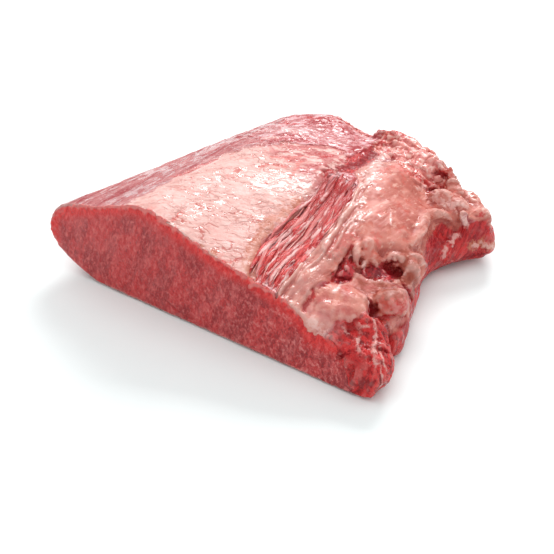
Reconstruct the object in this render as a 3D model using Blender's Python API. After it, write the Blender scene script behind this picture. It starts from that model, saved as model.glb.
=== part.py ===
"""Raw beef brisket, a half flat with its fat cap up, as one closed solid.

The piece lies on its underside. +X runs along the knife's cut, from the thin left edge to
the torn right tip, +Y runs with the grain away from the cut, and +Z is up. The origin is
the middle of the footprint's box, on the surface that the meat lies on. Units are metres.

The solid starts as a box primitive, cut into a grid. Each grid point (s, t, w) is then
moved: s goes from the left edge to the right, t from the cut to the back, and w from the
underside to the top. The outline, the sections and the lumps are named below.
"""

import math

import bmesh
import bpy
from mathutils import Vector, noise

# Driving sizes of the whole piece.
LENGTH = 0.257  # along the cut face, nose to tip
DEPTH = 0.230  # along the grain
THICKNESS = 0.0732  # at the shoulder, where the flat is thickest

# Grid of the box before it is shaped.
COLUMNS = 42  # from left to right
ROWS = 36  # from the cut to the back
LAYERS = 7  # up each side

HALF = LENGTH / 2
FRONT = -DEPTH / 2  # the plane of the knife's cut

# The outline of the top sheet, seen from above, as one smooth line along each side.
# The sides bulge out past these lines by the amounts in BULGE.
CUT_EDGE = [(-HALF + 0.001, FRONT), (0.0, FRONT), (HALF - 0.009, FRONT)]
NATURAL_EDGE = [
    CUT_EDGE[0],
    (-0.117, -0.067),
    (-0.107, -0.026),
    (-0.096, 0.014),
    (-0.087, 0.058),
    (-0.082, 0.090),
]
TORN_EDGE = [
    CUT_EDGE[-1],
    (0.118, -0.098),
    (0.107, -0.080),
    (0.106, -0.060),
    (0.104, -0.044),
    (0.098, -0.026),
    (0.091, -0.006),
    (0.091, 0.018),
    (0.103, 0.040),
    (0.120, 0.052),
]
BACK_EDGE = [
    NATURAL_EDGE[-1],
    (-0.050, 0.1045),
    (-0.012, 0.1005),
    (0.020, 0.100),
    (0.050, 0.098),
    (0.080, 0.081),
    TORN_EDGE[-1],
]

# Share of the half length and half depth that the rounded back corners take.
BACK_CORNER = 0.16

# How far each side stands out past the top sheet, half way up.
BULGE = {"cut": 0.0008, "natural": 0.0042, "torn": 0.0030, "back": 0.0055}

# The knife leaned: the cut's top edge lies this far behind its bottom edge. The lean fades
# out over the given share of the way back.
CUT_LEAN = 0.0050
LEAN_FADE = 0.14

# Height of the top sheet along three lines from the left edge to the right, as a share of
# THICKNESS. The first number of a pair is the share of the way across.
SECTION_AT_CUT = [
    (0.00, 0.60),
    (0.04, 0.71),
    (0.14, 0.80),
    (0.21, 0.90),
    (0.28, 0.99),
    (0.33, 1.00),
    (0.42, 0.91),
    (0.51, 0.80),
    (0.60, 0.73),
    (0.70, 0.67),
    (0.77, 0.59),
    (0.83, 0.48),
    (0.92, 0.41),
    (1.00, 0.32),
]
SECTION_AT_MIDDLE = [
    (0.00, 0.56),
    (0.05, 0.64),
    (0.18, 0.78),
    (0.30, 0.88),
    (0.50, 0.85),
    (0.75, 0.75),
    (0.92, 0.60),
    (1.00, 0.45),
]
SECTION_AT_BACK = [
    (0.00, 0.47),
    (0.10, 0.60),
    (0.26, 0.67),
    (0.38, 0.60),
    (0.48, 0.61),
    (0.58, 0.59),
    (0.72, 0.61),
    (0.82, 0.50),
    (0.92, 0.45),
    (1.00, 0.39),
]

# The underside is flat where it rests, and lifts towards each edge: the height at the edge
# and how far in from the edge the lift begins.
LIFT = {
    "cut": (0.0015, 0.006),
    "natural": (0.0210, 0.052),
    "torn": (0.0040, 0.010),
    "back": (0.0090, 0.026),
}
LIFT_CURVE = 2.2  # 1 is a straight bevel, and more is a softer curl

# Rounded lumps of fat and lean on top: x, y, half length, half width, turn in degrees and
# rise. A lump is a low pillow, so neighbours meet in a crease.
LUMPS = [
    (0.086, -0.084, 0.023, 0.015, 5, 0.0105),  # large smooth lobe over the tip
    (0.106, -0.060, 0.015, 0.011, 60, 0.0105),  # smaller lobe beside it
    (0.074, -0.006, 0.042, 0.024, 100, 0.0075),  # thick sheet of fat
    (0.052, 0.022, 0.045, 0.018, 110, 0.0050),
    (0.056, -0.062, 0.050, 0.011, 98, 0.0040),  # rib of fat beside the bare strands
    (0.090, -0.020, 0.012, 0.008, 70, 0.0050),  # roll over the hollow
    (0.093, 0.053, 0.022, 0.014, 25, 0.0065),  # roll at the far corner
    (0.054, 0.081, 0.024, 0.016, 150, 0.0065),  # tags along the back
    (0.024, 0.090, 0.018, 0.010, 170, 0.0040),
    (0.118, -0.094, 0.014, 0.010, 80, 0.0040),  # end of the lean tip
]
PILLOW = 0.65  # how soon a lump reaches its full height

# Hollows, given the same way with a depth.
HOLLOWS = [
    (0.026, -0.043, 0.060, 0.015, 104, 0.0030),  # window of bare strands
    (0.087, -0.034, 0.014, 0.009, 20, 0.0080),  # dark pocket between the lobes
    (0.067, -0.054, 0.012, 0.007, 70, 0.0050),
    (0.099, -0.075, 0.011, 0.006, 65, 0.0050),  # crease between the two lobes
    (0.094, 0.026, 0.020, 0.010, 80, 0.0060),  # bare lean below the sheet of fat
    (0.069, 0.066, 0.014, 0.006, 20, 0.0040),
    (0.037, 0.072, 0.026, 0.0045, 60, 0.0025),  # groove towards the back corner
]

BACK_DROP = 0.006  # how far the top sheet falls away over the last tenth, at the back
LEFT_FADE = 0.10  # share of the way in over which the relief fades in, from the left edge
BACK_FADE = 0.08  # and from the back edge

UNEVEN = 0.0009  # gentle unevenness of soft meat
UNEVEN_SCALE = 0.028
FOLD_DEPTH = 0.0050  # uneven folds in the torn side
FOLD_SIZE = 0.021
FOLD_SLANT = 0.012

LEAN_RED = (0.38, 0.075, 0.07, 1.0)


def smooth_step(x):
    x = min(1.0, max(0.0, x))
    return x * x * (3 - 2 * x)


def between(pairs, at):
    """A height read from (place, height) pairs, eased from each pair to the next."""
    for (a, low), (b, high) in zip(pairs, pairs[1:]):
        if at <= b:
            share = (at - a) / (b - a)
            eased = 0.5 * share + 0.5 * smooth_step(share)
            return low + (high - low) * eased
    return pairs[-1][1]


def along(points, share):
    """A point on the smooth curve through the points, at this share of its length."""
    points = [Vector(p) for p in points]
    steps = [(b - a).length for a, b in zip(points, points[1:])]
    left = min(max(share, 0.0), 1.0) * sum(steps)
    i = 0
    while i < len(steps) - 1 and left > steps[i]:
        left -= steps[i]
        i += 1
    f = left / steps[i]
    a, b = points[i], points[i + 1]
    before = points[i - 1] if i else a * 2 - b
    after = points[i + 2] if i + 2 < len(points) else b * 2 - a
    return 0.5 * (
        2 * a
        + (b - before) * f
        + (2 * before - 5 * a + 4 * b - after) * f * f
        + (3 * a - before - 3 * b + after) * f**3
    )


def plan(s, t):
    """Where the grid point lies, seen from above: a patch stretched between the four edges."""
    front, back = along(CUT_EDGE, s), along(BACK_EDGE, s)
    left, right = along(NATURAL_EDGE, t), along(TORN_EDGE, t)
    corners = (
        (1 - s) * (1 - t) * Vector(CUT_EDGE[0])
        + s * (1 - t) * Vector(CUT_EDGE[-1])
        + (1 - s) * t * Vector(BACK_EDGE[0])
        + s * t * Vector(BACK_EDGE[-1])
    )
    return front * (1 - t) + back * t + left * (1 - s) + right * s - corners


def reach(place, lump):
    """1 at the middle of a lump's oval, 0 at its rim and below 0 outside."""
    x, y, length, width, turn, _ = lump
    c, n = math.cos(math.radians(turn)), math.sin(math.radians(turn))
    dx, dy = place.x - x, place.y - y
    a, b = (dx * c + dy * n) / length, (dy * c - dx * n) / width
    return 1 - a * a - b * b


def relief(place):
    """The height that the lumps and hollows add at a place."""
    rise = max(max(0.0, reach(place, m)) ** PILLOW * m[5] for m in LUMPS)
    sink = sum(smooth_step(reach(place, m)) * m[5] for m in HOLLOWS)
    spot = Vector((place.x, place.y, 0.3)) / UNEVEN_SCALE
    return rise - sink + UNEVEN * noise.noise(spot)


def top_height(s, t, place):
    """Height of the top sheet: three sections blended along the grain, plus the relief."""
    cut, middle, back = (
        between(section, s) * THICKNESS
        for section in (SECTION_AT_CUT, SECTION_AT_MIDDLE, SECTION_AT_BACK)
    )
    if t < 0.5:
        base = cut + (middle - cut) * smooth_step(t * 2)
    else:
        base = middle + (back - middle) * smooth_step(t * 2 - 1)
    drop = BACK_DROP * smooth_step((t - 0.90) / 0.10)
    fade = min(1.0, s / LEFT_FADE, (1 - t) / BACK_FADE)
    return base - drop + relief(place) * fade


def underside_height(s, t):
    """0 where the meat rests, lifting towards each edge."""
    width = (along(TORN_EDGE, t) - along(NATURAL_EDGE, t)).length
    depth = (along(BACK_EDGE, s) - along(CUT_EDGE, s)).length
    inset = {
        "cut": t * depth,
        "natural": s * width,
        "torn": (1 - s) * width,
        "back": (1 - t) * depth,
    }
    return max(
        height * max(0.0, 1 - inset[side] / start) ** LIFT_CURVE
        for side, (height, start) in LIFT.items()
    )


def rounded(u, v):
    """A place on the square from -1 to 1, with the two back corners rounded off.

    Also gives the way out of the piece there: straight out from a side, and turning
    through a quarter circle around each of those corners.
    """
    keep = 1 - BACK_CORNER
    a = max(0.0, abs(u) - keep) / BACK_CORNER
    b = max(0.0, v - keep) / BACK_CORNER
    side = math.copysign(1.0, u)
    across, back = a * math.sqrt(1 - b * b / 2), b * math.sqrt(1 - a * a / 2)
    place = (side * (min(abs(u), keep) + across * BACK_CORNER), min(v, keep) + back * BACK_CORNER)
    return place, Vector((side * across, back))


def push_out(u, v, w, place, way):
    """How far a point on a side stands out past the top sheet's outline."""
    out = Vector((0.0, -BULGE["cut"] if v <= -1.0 else 0.0))
    if abs(u) >= 1.0 or v >= 1.0:
        side = BULGE["natural"] if u < 0 else BULGE["torn"]
        if u > 0:
            fold = noise.noise(Vector((0.0, place.y, FOLD_SLANT * w)) / FOLD_SIZE)
            side += FOLD_DEPTH * fold * smooth_step((v + 1) / 0.1)
        far = way.y * way.y
        out += way.normalized() * (side * (1 - far) + BULGE["back"] * far)
    return out * (1 - w * w)


def shaped(point):
    """A point of the plain box, from -1 to 1 each way, moved to its place on the meat."""
    (u, v), way = rounded(point.x, point.y)
    s, t, w = (u + 1) / 2, (v + 1) / 2, point.z
    place = plan(s, t)
    low, high = underside_height(s, t), top_height(s, t, place)
    place += push_out(point.x, point.y, w, place, way)
    up = (w + 1) / 2
    place.y += CUT_LEAN * up * max(0.0, 1 - t / LEAN_FADE)
    return Vector((place.x, place.y, low + (high - low) * up))


def grid_box():
    """A box from -1 to 1 each way, cut into columns, rows and layers."""
    form = bmesh.new()
    bmesh.ops.create_cube(form, size=2.0)
    for axis, count in enumerate((COLUMNS, ROWS, LAYERS)):
        lengthwise = [
            e for e in form.edges if abs(e.verts[0].co[axis] - e.verts[1].co[axis]) > 1.9
        ]
        bmesh.ops.subdivide_edges(
            form, edges=lengthwise, cuts=count - 1, use_grid_fill=True
        )
    return form


def centred(form):
    """Puts the middle of the footprint's box at the origin, standing on zero."""
    for axis in range(2):
        places = [v.co[axis] for v in form.verts]
        middle = (min(places) + max(places)) / 2
        for v in form.verts:
            v.co[axis] -= middle


def raw_beef():
    material = bpy.data.materials.new("raw_beef")
    material.use_nodes = True
    shader = material.node_tree.nodes["Principled BSDF"]
    shader.inputs["Base Color"].default_value = LEAN_RED
    shader.inputs["Roughness"].default_value = 0.35
    shader.inputs["Metallic"].default_value = 0.0
    return material


def make_brisket(collection):
    form = grid_box()
    for v in form.verts:
        v.co = shaped(v.co)
    centred(form)
    bmesh.ops.recalc_face_normals(form, faces=form.faces)
    mesh = bpy.data.meshes.new("brisket")
    form.to_mesh(mesh)
    form.free()
    mesh.shade_smooth()
    mesh.materials.append(raw_beef())
    collection.objects.link(bpy.data.objects.new("brisket", mesh))


def main():
    for obj in list(bpy.data.objects):
        bpy.data.objects.remove(obj)
    collection = bpy.data.collections.new("raw_beef_brisket")
    bpy.context.scene.collection.children.link(collection)
    make_brisket(collection)


main()
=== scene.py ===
# %% [markdown]
# # Raw beef brisket
# A half flat of raw brisket lies with its fat cap up. At the front a knife has cut straight
# across the grain, and on the right the thick point muscle has been torn off, which leaves
# rags of fat, pockets and bare lean. It is one soft thing with no seams, so it is modelled
# the way a sculptor works: a solid core first, then lumps pressed onto it, then a fine
# relief, and last the finish of each tissue.

# %% The frame
import math
from contextlib import contextmanager
from functools import partial, reduce
from itertools import product

import bmesh
import bpy
import numpy as np
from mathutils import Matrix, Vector
from mathutils.bvhtree import BVHTree


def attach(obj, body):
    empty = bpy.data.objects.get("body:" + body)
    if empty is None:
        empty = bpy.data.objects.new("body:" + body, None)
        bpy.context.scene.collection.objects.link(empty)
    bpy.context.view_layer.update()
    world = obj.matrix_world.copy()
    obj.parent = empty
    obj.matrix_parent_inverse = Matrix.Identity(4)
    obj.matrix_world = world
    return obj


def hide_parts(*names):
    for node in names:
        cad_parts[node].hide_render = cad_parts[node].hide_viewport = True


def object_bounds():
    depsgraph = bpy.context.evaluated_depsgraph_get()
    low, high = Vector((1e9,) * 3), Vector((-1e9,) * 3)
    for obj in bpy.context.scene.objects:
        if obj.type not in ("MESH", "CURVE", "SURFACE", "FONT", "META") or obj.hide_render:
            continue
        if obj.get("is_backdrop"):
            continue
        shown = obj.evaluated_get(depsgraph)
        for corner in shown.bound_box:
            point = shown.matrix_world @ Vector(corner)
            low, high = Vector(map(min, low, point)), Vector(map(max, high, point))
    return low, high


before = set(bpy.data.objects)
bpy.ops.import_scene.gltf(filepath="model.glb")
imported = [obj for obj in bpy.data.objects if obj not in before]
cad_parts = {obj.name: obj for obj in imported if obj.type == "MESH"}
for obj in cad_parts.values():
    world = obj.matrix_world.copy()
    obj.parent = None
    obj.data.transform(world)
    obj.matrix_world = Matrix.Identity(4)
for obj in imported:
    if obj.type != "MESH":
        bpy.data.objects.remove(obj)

CAD_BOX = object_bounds()
MM = 0.001
print("frame box in mm", [[round(v / MM, 1) for v in corner] for corner in CAD_BOX])

# %% [markdown]
# ## Working with points in bulk
# The skin has about two hundred thousand points. Moving them one at a time in Python is
# slow, so their places go into one numpy array, every rule works on the whole array, and
# the array goes back into the mesh.


# %% Points in and out of a mesh
def vectors_of(items, what):
    flat = np.empty(len(items) * 3, np.float32)
    items.foreach_get(what, flat)
    return flat.reshape(-1, 3).astype(float)


def places_of(mesh):
    return vectors_of(mesh.vertices, "co")


def normals_of(mesh):
    return vectors_of(mesh.vertex_normals, "vector")


def move_points(mesh, places):
    mesh.vertices.foreach_set("co", places.astype(np.float32).ravel())
    mesh.update()


@contextmanager
def kneaded(mesh):
    """Opens a mesh to be edited, and writes it back afterwards."""
    form = bmesh.new()
    form.from_mesh(mesh)
    yield form
    form.to_mesh(mesh)
    form.free()


def triangle_count(mesh):
    return sum(len(p.vertices) - 2 for p in mesh.polygons)


def skin_tree(mesh):
    """A search tree over a mesh, to find the nearest place on it or what a ray meets."""
    return BVHTree.FromPolygons([v.co[:] for v in mesh.vertices], [tuple(p.vertices) for p in mesh.polygons])


def evaluated_mesh(obj):
    graph = bpy.context.evaluated_depsgraph_get()
    return bpy.data.meshes.new_from_object(obj.evaluated_get(graph))


def new_object(name, data):
    obj = bpy.data.objects.new(name, data)
    bpy.context.scene.collection.objects.link(obj)
    return obj


def ramp(value, low, high):
    """0 below low, 1 above high, and an ease between them."""
    x = np.clip((value - low) / (high - low), 0.0, 1.0)
    return x * x * (3 - 2 * x)


# %% [markdown]
# ## Fields of lumps and cells
# Meat is uneven at every scale. Two fields make that unevenness. The first is gradient
# noise: soft lumps of a given size. The second scatters one seed point in each cell of a
# lattice and measures how far away the nearest seed is, which gives pebbles. Both are
# fixed by a seed number, so the piece comes out the same each time.


# %% Noise and pebbles
def lattice(points, size, seed):
    rng = np.random.default_rng(seed)
    order = rng.permutation(256)
    scaled = points / size + rng.uniform(0, 99, 3)
    cell = np.floor(scaled).astype(int)

    def pick(at):
        return order[(order[(order[at[:, 0] & 255] + at[:, 1]) & 255] + at[:, 2]) & 255]

    return rng, scaled, cell, pick


def noise(points, size, seed):
    """A smooth random field, from about -1 to 1, with lumps of this size."""
    rng, scaled, cell, pick = lattice(points, size, seed)
    slopes = rng.normal(size=(256, 3))
    slopes /= np.linalg.norm(slopes, axis=1)[:, None]
    part = scaled - cell
    fade = part**3 * (part * (part * 6 - 15) + 10)
    total = np.zeros(len(points))
    for corner in product((0, 1), repeat=3):
        weight = np.prod(np.where(corner, fade, 1 - fade), axis=1)
        total += weight * (slopes[pick(cell + corner)] * (part - corner)).sum(axis=1)
    return total * 1.6


def pebbles(points, size, seed):
    """How domed the ground is over scattered seed points: 1 on a seed, 0 halfway to the next."""
    rng, scaled, cell, pick = lattice(points, size, seed)
    jitter = rng.uniform(0.1, 0.9, size=(256, 3))
    nearest = np.full(len(points), 9.0)
    second = np.full(len(points), 9.0)
    for step in product((-1, 0, 1), repeat=3):
        at = cell + step
        away = np.linalg.norm(at + jitter[pick(at)] - scaled, axis=1)
        second = np.minimum(second, np.maximum(nearest, away))
        nearest = np.minimum(nearest, away)
    return np.sqrt(np.clip(1 - (nearest / np.maximum(second, 1e-6)) ** 2, 0, 1))


def drawn_out(points, direction, times):
    """The points squeezed along a direction, so a field read there is drawn out along it."""
    way = np.array(direction, float)
    way /= np.linalg.norm(way)
    along = points @ way
    return points - np.outer(along * (1 - 1 / times), way)


# %% [markdown]
# ## Outlines
# Each tissue covers a patch of the surface. A patch is drawn as a smooth closed line through
# a few points, in millimetres, seen from above or from one side. The sculpting needs the
# distance to that line, positive inside it: near zero is the ragged edge of the tissue.


# %% Smooth lines and distances
def smooth_line(points, closed=False, steps=5):
    """More points along the smooth curve through the given points."""
    points = np.array(points, float)
    before = points[-1:] if closed else 2 * points[:1] - points[1:2]
    after = points[:2] if closed else 2 * points[-1:] - points[-2:-1]
    run = np.vstack([before, points, after])
    line = []
    for a, b, c, d in zip(run, run[1:], run[2:], run[3:]):
        for f in np.arange(steps) / steps:
            bend = (c - a) * f + (2 * a - 5 * b + 4 * c - d) * f**2 + (3 * b - a - 3 * c + d) * f**3
            line.append(b + 0.5 * bend)
    return np.array(line if closed else line + [points[-1]])


def from_line(line, places):
    """Distance from each place to a line of points, and how far along the line that is, 0 to 1."""
    best = np.full(len(places), 1e9)
    share = np.zeros(len(places))
    for i, (a, b) in enumerate(zip(line, line[1:])):
        step = b - a
        f = np.clip((places - a) @ step / (step @ step), 0, 1)
        away = np.linalg.norm(places - a - np.outer(f, step), axis=1)
        closer = away < best
        best[closer] = away[closer]
        share[closer] = (i + f[closer]) / (len(line) - 1)
    return best, share


def depth_inside(outline, places):
    """How far inside a closed outline each place lies; outside is negative."""
    ring = smooth_line(outline, closed=True, steps=4)
    ring = np.vstack([ring, ring[:1]])
    away, _ = from_line(ring, places)
    inside = np.zeros(len(places), bool)
    for (ax, ay), (bx, by) in zip(ring, ring[1:]):
        spans = (ay > places[:, 1]) != (by > places[:, 1])
        cross = ax + (places[:, 1] - ay) * (bx - ax) / (by - ay if by != ay else 1.0)
        inside ^= spans & (places[:, 0] < cross)
    return np.where(inside, away, -away)


# %% [markdown]
# ## The core
# The frame's solid has the right size and outline. A copy of it is the sculptor's core:
# its loose triangles are merged first, because a remesh needs one closed skin.

# %% Copy the solid
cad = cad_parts["brisket"]
core_mesh = cad.data.copy()
with kneaded(core_mesh) as form:
    bmesh.ops.remove_doubles(form, verts=form.verts, dist=0.01 * MM)
core_mesh.materials.clear()
core = new_object("core", core_mesh)
print("core points", len(core_mesh.vertices))

# %% [markdown]
# ## Fat that stands proud
# The torn side is heavy with soft fat: two smooth lobes over the tip, a thick sheet whose
# edge rolls over, and small rags. Each is a pressed ball or a bent roll of fat. They only
# have to overlap the core, because the remesh melts everything into one skin.

# %% Pressed balls of fat
# Middle, half sizes (along, across, up) and turn about the upright, in mm and degrees.
BALLS = [
    ((84, -88, 34.5), (18.5, 13.5, 10.8), 28),  # large smooth lobe
    ((104, -61, 31.5), (12.0, 10.5, 10.5), 40),  # smaller lobe
    ((78, -102, 34.0), (13.0, 6.5, 6.0), 15),  # fringe under the large lobe
    ((71, -55, 38.5), (5.5, 8.5, 7.0), 10),  # lean standing in the left pocket
    ((78, -49, 38.0), (5.0, 4.5, 6.0), 40),  # rags between the pockets
    ((84, -36, 40.0), (4.5, 3.0, 4.5), 0),
    ((96, -40, 31.5), (6.5, 8.0, 5.0), 20),  # floor of the dark pocket
    ((99, -26, 33.0), (7.0, 7.5, 8.0), 0),  # round knob of fat
    ((54, 87, 40.5), (8.4, 7.0, 7.5), 30),  # heavy beads along the back corner
    ((45, 92, 40.5), (10.0, 7.0, 7.2), 10),
    ((32, 95, 42.0), (11.0, 7.0, 7.4), -10),
    ((20, 96, 43.6), (10.0, 6.4, 7.2), 10),
    ((9, 94, 43.2), (9.0, 6.4, 6.6), -5),
    ((84, -49, 37.0), (3.5, 2.6, 4.0), 30),  # bits of lean in the dark pocket
    ((90, -44, 36.5), (2.6, 4.0, 3.6), 10),
    ((94, -38, 35.5), (4.0, 3.2, 4.8), 0),
    ((99, -34, 34.0), (3.0, 2.6, 4.4), 20),
    ((74, 74.5, 42.0), (4.6, 2.0, 9.6), 34),  # standing flap
    ((79, 71, 39.0), (6.0, 3.0, 6.5), 20),
    ((82, 68, 36.0), (9.0, 6.0, 6.5), -30),  # rolls at the far corner
    ((95, 70, 31.0), (15.0, 8.0, 7.0), -38),
    ((106, 60, 29.5), (9.0, 8.0, 7.6), -38),
    ((92, 53, 37.0), (8.0, 5.5, 6.0), 40),
    ((80, 52, 40.0), (9.0, 6.0, 5.5), 10),
    ((101, 46, 33.0), (3.4, 3.2, 7.5), 30),  # drop hanging over the lean
    ((117, 52, 16.0), (5.5, 5.5, 8.0), 0),  # far tip
    ((115.5, -99, 15.0), (12.5, 13.8, 13.5), 0),  # rounded end of the lean tip
    ((111, -57, 14.0), (5.0, 9.0, 11.0), 0),  # swelling of lean under the smaller lobe
    ((112, -67, 11.0), (6.4, 8.0, 11.0), 0),
    ((106, -107, 20.0), (9.0, 4.0, 6.0), 0),  # lump of lean on the front of the tip
    ((110, -107, 8.0), (11.0, 6.0, 8.0), 10),
    ((74, -43, 47.0), (2.6, 2.0, 2.6), 20),  # crumbs of fat over the dark pocket
    ((79, -39, 45.5), (4.4, 3.4, 3.4), 50),
    ((88, -29, 40.5), (9.0, 6.0, 5.4), 25),
    ((73, -37, 51.0), (3.8, 3.0, 2.6), 30),
    ((82, -44, 42.0), (1.8, 2.4, 2.2), 0),
]


def pressed_ball(middle, half_sizes, turn):
    mesh = bpy.data.meshes.new("ball")
    c, s = math.cos(math.radians(turn)), math.sin(math.radians(turn))
    with kneaded(mesh) as ball:
        bmesh.ops.create_uvsphere(ball, u_segments=32, v_segments=20, radius=1.0)
        for v in ball.verts:
            a, b, h = (v.co[i] * half_sizes[i] for i in range(3))
            v.co = Vector((a * c - b * s + middle[0], a * s + b * c + middle[1], h + middle[2])) * MM
    return new_object("ball", mesh)


balls = [pressed_ball(*ball) for ball in BALLS]
print("balls", len(balls))

# %% Bent rolls of fat
# Points along each roll: place and radius, in mm.
ROLLS = {
    "edge of the thick sheet": [
        (80, -27, 45, 3.5), (88, -15, 42.5, 4.5), (90, -2, 40.5, 5.0), (86, 12, 41.0, 5.5),
        (83, 26, 40.5, 4.6), (87, 37, 37.5, 3.6), (94, 42, 33, 2.2),
    ],
    "curl": [
        (90, -26, 41, 3.0), (97, -18, 38, 4.0), (100, -12, 32, 4.6),
        (100, -19, 26, 4.4), (101, -29, 27, 4.0), (99, -36, 31, 3.4),
    ],
    "rag beside the left pocket": [
        (67, -38, 50.0, 1.6), (69, -42, 50.5, 2.4), (72, -47, 48.0, 2.4), (74, -51, 44.0, 1.8),
    ],
    "rag over the dark pocket": [
        (70, -35, 52.0, 1.6), (74, -34, 52.5, 2.2), (77, -37, 50.0, 2.4),
        (77, -42, 46.5, 1.8), (79, -46, 43.0, 1.4),
    ],
    "rib beside the strands": [
        (55, -105, 44.0, 3.0), (53, -88, 46.5, 3.6), (53, -72, 48.0, 4.0), (55, -56, 51.5, 4.2),
        (54, -42, 53.0, 4.2), (50, -26, 54.0, 3.8), (46, -10, 54.0, 3.4), (41, 8, 54.0, 3.0),
    ],
    "second rib": [
        (61, -100, 42.5, 2.5), (61, -84, 45.0, 3.2), (62, -70, 47.0, 3.4), (61, -54, 50.5, 3.0),
    ],
    "edge beside the strands": [
        (36, -109, 47.0, 2.2), (29, -94, 49.0, 2.8), (24, -79, 51.5, 2.8), (21, -62, 53.8, 2.8),
        (20, -46, 55.0, 2.4), (20, -30, 55.4, 2.0),
    ],
}


def bent_roll(points):
    curve = bpy.data.curves.new("roll", "CURVE")
    curve.dimensions = "3D"
    curve.bevel_depth = 1.0
    curve.bevel_resolution = 4
    curve.use_fill_caps = True
    line = smooth_line(points, steps=6) * MM
    spline = curve.splines.new("POLY")
    spline.points.add(len(line) - 1)
    for point, (x, y, z, radius) in zip(spline.points, line):
        point.co = (x, y, z, 1.0)
        point.radius = radius
    roll = new_object("roll", curve)
    mesh = evaluated_mesh(roll)
    bpy.data.objects.remove(roll)
    return new_object("roll", mesh)


rolls = [bent_roll(points) for points in ROLLS.values()]
print("rolls", len(rolls))

# %% [markdown]
# ## Beads of fat at the back corner
# Where the point muscle was pulled away, the fat tore into small beads. Scattering is work
# for Geometry Nodes: the tree spreads points over a patch of the surface, puts a ball on
# each with its own size and turn, and makes the balls real. Its sizes are named inputs, and
# the seed is fixed, so the same beads grow each time. A few helpers come first, which the
# finishes use too, as a finish is a node tree as well.


# %% A workbench for node trees
def new_tree(name, **inputs):
    """A tree with geometry in and out, and named inputs given as name=(socket type, value)."""
    tree = bpy.data.node_groups.new(name, "GeometryNodeTree")
    for way in ("OUTPUT", "INPUT"):
        tree.interface.new_socket("Geometry", in_out=way, socket_type="NodeSocketGeometry")
    for label, (kind, value) in inputs.items():
        socket = tree.interface.new_socket(label.replace("_", " "), in_out="INPUT", socket_type=kind)
        if value is not None:
            socket.default_value = value
    return tree


def feed(tree, socket, value):
    """Feeds a socket with another socket, with a node's first output or with a plain value."""
    if isinstance(value, bpy.types.Node):
        value = next(s for s in value.outputs if s.enabled)
    if isinstance(value, bpy.types.NodeSocket):
        tree.links.new(value, socket)
    else:
        socket.default_value = value


def add(tree, kind, settings=(), **links):
    """Adds a node; links feed its inputs by name."""
    node = tree.nodes.new(kind)
    for key, value in dict(settings).items():
        setattr(node, key, value)
    for label, value in links.items():
        feed(tree, node.inputs[label.replace("_", " ")], value)
    return node


def maths(tree, operation, *values, kind="ShaderNodeMath"):
    """The result of one operation on numbers, or on vectors, in the order given."""
    node = add(tree, kind, {"operation": operation})
    for socket, value in zip(node.inputs, values):
        feed(tree, socket, value)
    return node.outputs[0]


def close_tree(tree, given, geometry):
    """Ends a tree: instances are made real and get the material that the tree was given."""
    real = add(tree, "GeometryNodeRealizeInstances", Geometry=geometry)
    coated = add(tree, "GeometryNodeSetMaterial", Geometry=real, Material=given.outputs["Material"])
    add(tree, "NodeGroupOutput", Geometry=coated)
    print(tree.name, "tree of", len(tree.nodes), "nodes")


def grown(obj, tree, **values):
    """The plain mesh that a tree makes of an object, with these values for its named inputs."""
    modifier = obj.modifiers.new("grow", "NODES")
    modifier.node_group = tree
    for label, value in values.items():
        name = label.replace("_", " ")
        socket = next(s for s in tree.interface.items_tree if s.in_out == "INPUT" and s.name == name)
        modifier[socket.identifier] = value
    mesh = evaluated_mesh(obj)
    obj.modifiers.remove(modifier)
    return mesh


# %% The bead tree
FLOAT, WHOLE, MATERIAL = "NodeSocketFloat", "NodeSocketInt", "NodeSocketMaterial"
bead_tree = new_tree(
    "beads",
    Bead_radius=(FLOAT, 2.0 * MM),
    Beads_per_square_metre=(FLOAT, 30000.0),
    Seed=(WHOLE, 3),
    Material=(MATERIAL, None),
)
node = partial(add, bead_tree)
given = node("NodeGroupInput")
spread = node(
    "GeometryNodeDistributePointsOnFaces", Mesh=given,
    Density=given.outputs["Beads per square metre"], Seed=given.outputs["Seed"],
)
bead = node("GeometryNodeMeshIcoSphere", Radius=given.outputs["Bead radius"], Subdivisions=2)
size = node(
    "FunctionNodeRandomValue", {"data_type": "FLOAT_VECTOR"},
    Min=(0.5, 0.5, 0.4), Max=(1.8, 1.5, 1.0), Seed=given.outputs["Seed"],
)
placed = node(
    "GeometryNodeInstanceOnPoints", Points=spread, Instance=bead,
    Rotation=spread.outputs["Rotation"], Scale=size,
)
close_tree(bead_tree, given, placed)

# %% Grow the beads over the back corner
# The patch they grow on, seen from above, in mm.
BEADS = [
    (14, 74), (12, 92), (16, 106), (40, 106), (64, 97), (74, 82),
    (77, 68), (69, 57), (56, 50), (43, 58), (30, 63),
]
patch = core.data.copy()
with kneaded(patch) as form:
    middles = np.array([f.calc_center_median()[:2] for f in form.faces]) / MM
    upward = np.array([f.normal.z > 0.1 for f in form.faces])
    keep = (depth_inside(BEADS, middles) > 2) & upward
    outside = [face for face, kept in zip(form.faces, keep) if not kept]
    bmesh.ops.delete(form, geom=outside, context="FACES")
bead_patch = new_object("bead patch", patch)
bead_mesh = grown(bead_patch, bead_tree, Bead_radius=3.0 * MM, Beads_per_square_metre=11000.0, Seed=8)
beads = new_object("beads", bead_mesh)
bpy.data.objects.remove(bead_patch)
print("bead triangles", triangle_count(bead_mesh))

# %% [markdown]
# ## One skin
# A voxel remesh fills the space with small cubes and draws one even skin around them.
# Anything that overlaps becomes one body, as wet fat does. The cubes leave steps, so every
# point is then moved a little towards its neighbours a few times.

# %% Join, remesh and relax
VOXEL = 0.9 * MM


def join_into(target, others):
    with kneaded(target.data) as form:
        for other in others:
            form.from_mesh(other.data)
            bpy.data.objects.remove(other)
        bmesh.ops.recalc_face_normals(form, faces=form.faces)


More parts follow.
